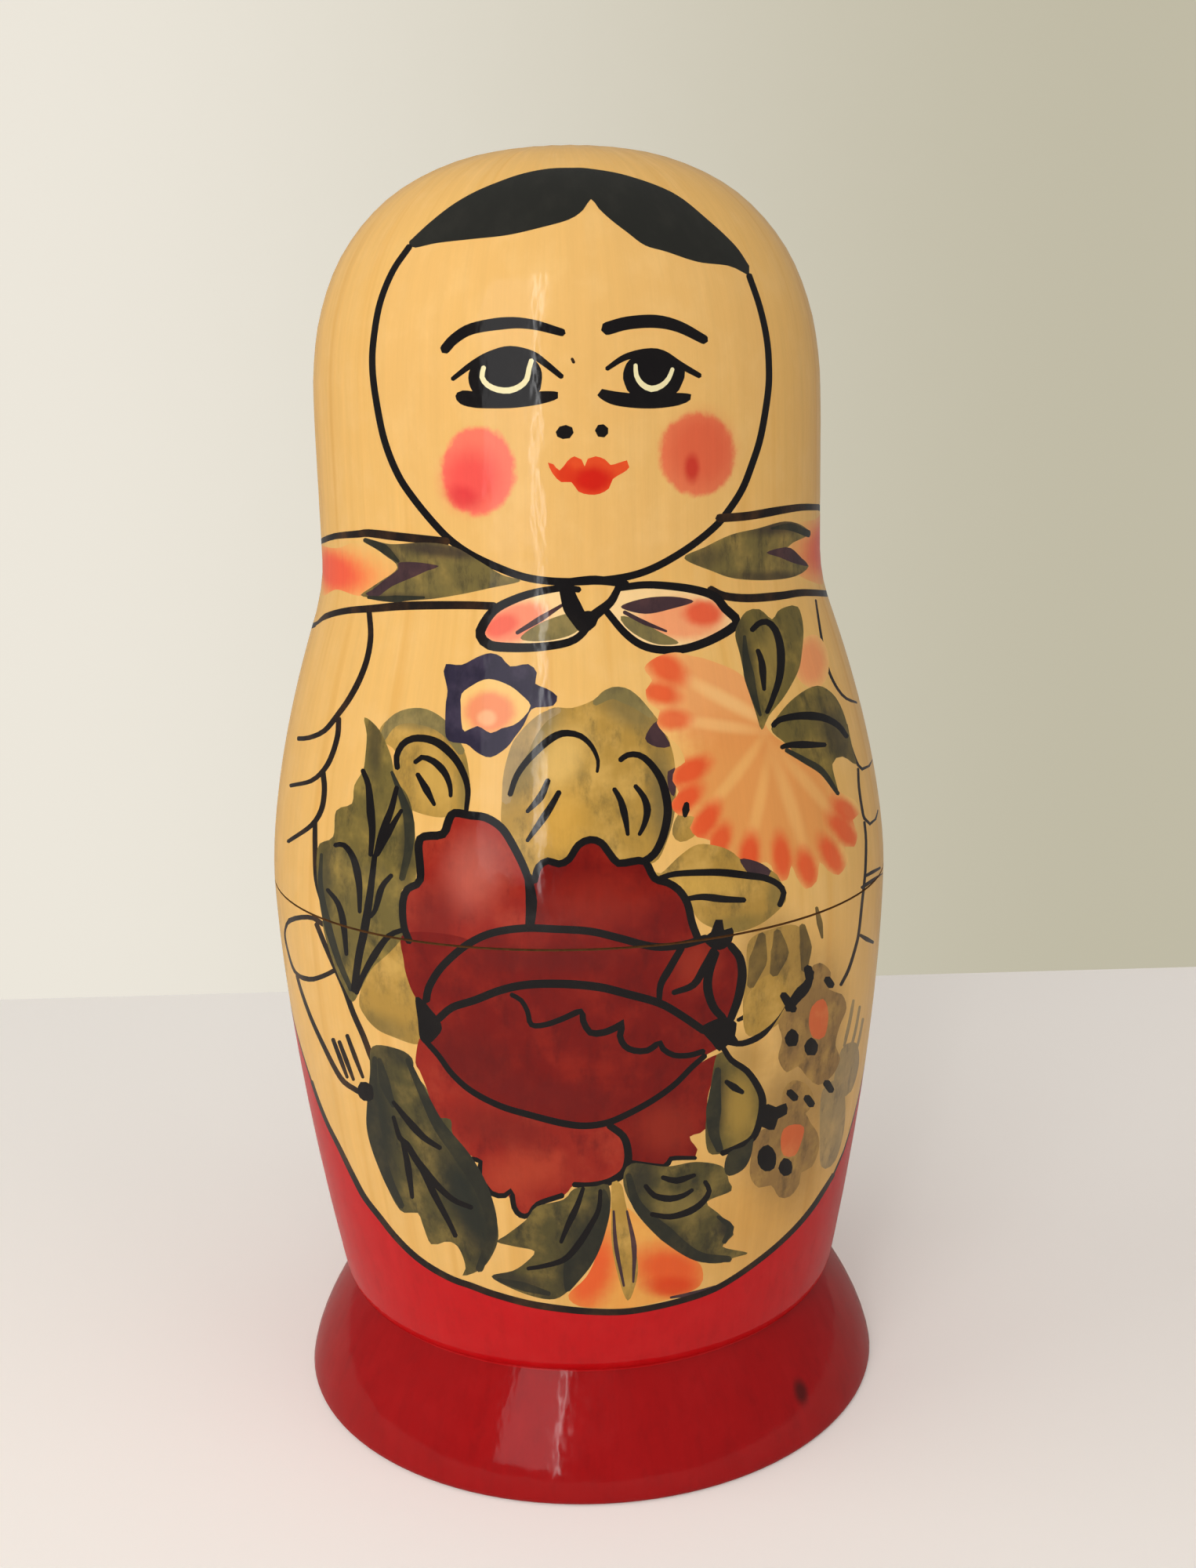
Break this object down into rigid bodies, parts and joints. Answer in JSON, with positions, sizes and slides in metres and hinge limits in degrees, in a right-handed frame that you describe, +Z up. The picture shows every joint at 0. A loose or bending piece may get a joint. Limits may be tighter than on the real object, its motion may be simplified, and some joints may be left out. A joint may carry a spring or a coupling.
{
  "type": "nesting doll",
  "caption": "Turned wooden nesting doll, painted and varnished, that opens at a push-fit seam and holds ever smaller dolls of the same outline, the innermost solid.",
  "frame": {"origin": "middle of the largest doll's base, on the table", "axes": "+Z up along the turning axis, -Y out of the painted face, +X to the right in the picture"},
  "size_m": [0.09, 0.09, 0.1795],
  "materials": {
    "varnished_wood": "gloss varnish over light wood with brush-painted ornament",
    "red_painted_wood": "gloss varnish over red paint, bare turned wood inside"
  },
  "bodies": {
    "outer_bottom": {"outer_bottom": "red_painted_wood"},
    "outer_top": {"outer_top": "varnished_wood"},
    "second_bottom": {"second_bottom": "red_painted_wood"},
    "second_top": {"second_top": "varnished_wood"},
    "third_bottom": {"third_bottom": "red_painted_wood"},
    "third_top": {"third_top": "varnished_wood"},
    "fourth_bottom": {"fourth_bottom": "red_painted_wood"},
    "fourth_top": {"fourth_top": "varnished_wood"},
    "fifth_bottom": {"fifth_bottom": "red_painted_wood"},
    "fifth_top": {"fifth_top": "varnished_wood"},
    "sixth_bottom": {"sixth_bottom": "red_painted_wood"},
    "sixth_top": {"sixth_top": "varnished_wood"},
    "smallest_doll": {"smallest_doll": "varnished_wood"}
  },
  "joints": [
    {"name": "outer_top_lift", "type": "slide", "parent": "outer_bottom", "child": "outer_top", "axis": [0, 0, 1], "range_m": [0, 0.541]},
    {"name": "second_bottom_lift", "type": "slide", "parent": "outer_bottom", "child": "second_bottom", "axis": [0, 0, 1], "range_m": [0, 0.07751]},
    {"name": "second_top_lift", "type": "slide", "parent": "second_bottom", "child": "second_top", "axis": [0, 0, 1], "range_m": [0, 0.38508]},
    {"name": "third_bottom_lift", "type": "slide", "parent": "second_bottom", "child": "third_bottom", "axis": [0, 0, 1], "range_m": [0, 0.05982]},
    {"name": "third_top_lift", "type": "slide", "parent": "third_bottom", "child": "third_top", "axis": [0, 0, 1], "range_m": [0, 0.26574]},
    {"name": "fourth_bottom_lift", "type": "slide", "parent": "third_bottom", "child": "fourth_bottom", "axis": [0, 0, 1], "range_m": [0, 0.04658]},
    {"name": "fourth_top_lift", "type": "slide", "parent": "fourth_bottom", "child": "fourth_top", "axis": [0, 0, 1], "range_m": [0, 0.17357]},
    {"name": "fifth_bottom_lift", "type": "slide", "parent": "fourth_bottom", "child": "fifth_bottom", "axis": [0, 0, 1], "range_m": [0, 0.03664]},
    {"name": "fifth_top_lift", "type": "slide", "parent": "fifth_bottom", "child": "fifth_top", "axis": [0, 0, 1], "range_m": [0, 0.10163]},
    {"name": "sixth_bottom_lift", "type": "slide", "parent": "fifth_bottom", "child": "sixth_bottom", "axis": [0, 0, 1], "range_m": [0, 0.02918]},
    {"name": "sixth_top_lift", "type": "slide", "parent": "sixth_bottom", "child": "sixth_top", "axis": [0, 0, 1], "range_m": [0, 0.04477]},
    {"name": "smallest_doll_lift", "type": "slide", "parent": "sixth_bottom", "child": "smallest_doll", "axis": [0, 0, 1], "range_m": [0, 0.02357]}
  ],
  "couplings": [
    {"joint": "second_bottom_lift", "follows": "outer_top_lift", "ratio": 0.14325},
    {"joint": "second_top_lift", "follows": "outer_top_lift", "ratio": 0.71178},
    {"joint": "third_bottom_lift", "follows": "outer_top_lift", "ratio": 0.11056},
    {"joint": "third_top_lift", "follows": "outer_top_lift", "ratio": 0.49119},
    {"joint": "fourth_bottom_lift", "follows": "outer_top_lift", "ratio": 0.08608},
    {"joint": "fourth_top_lift", "follows": "outer_top_lift", "ratio": 0.32081},
    {"joint": "fifth_bottom_lift", "follows": "outer_top_lift", "ratio": 0.06771},
    {"joint": "fifth_top_lift", "follows": "outer_top_lift", "ratio": 0.18783},
    {"joint": "sixth_bottom_lift", "follows": "outer_top_lift", "ratio": 0.05392},
    {"joint": "sixth_top_lift", "follows": "outer_top_lift", "ratio": 0.08273},
    {"joint": "smallest_doll_lift", "follows": "outer_top_lift", "ratio": 0.04355}
  ]
}
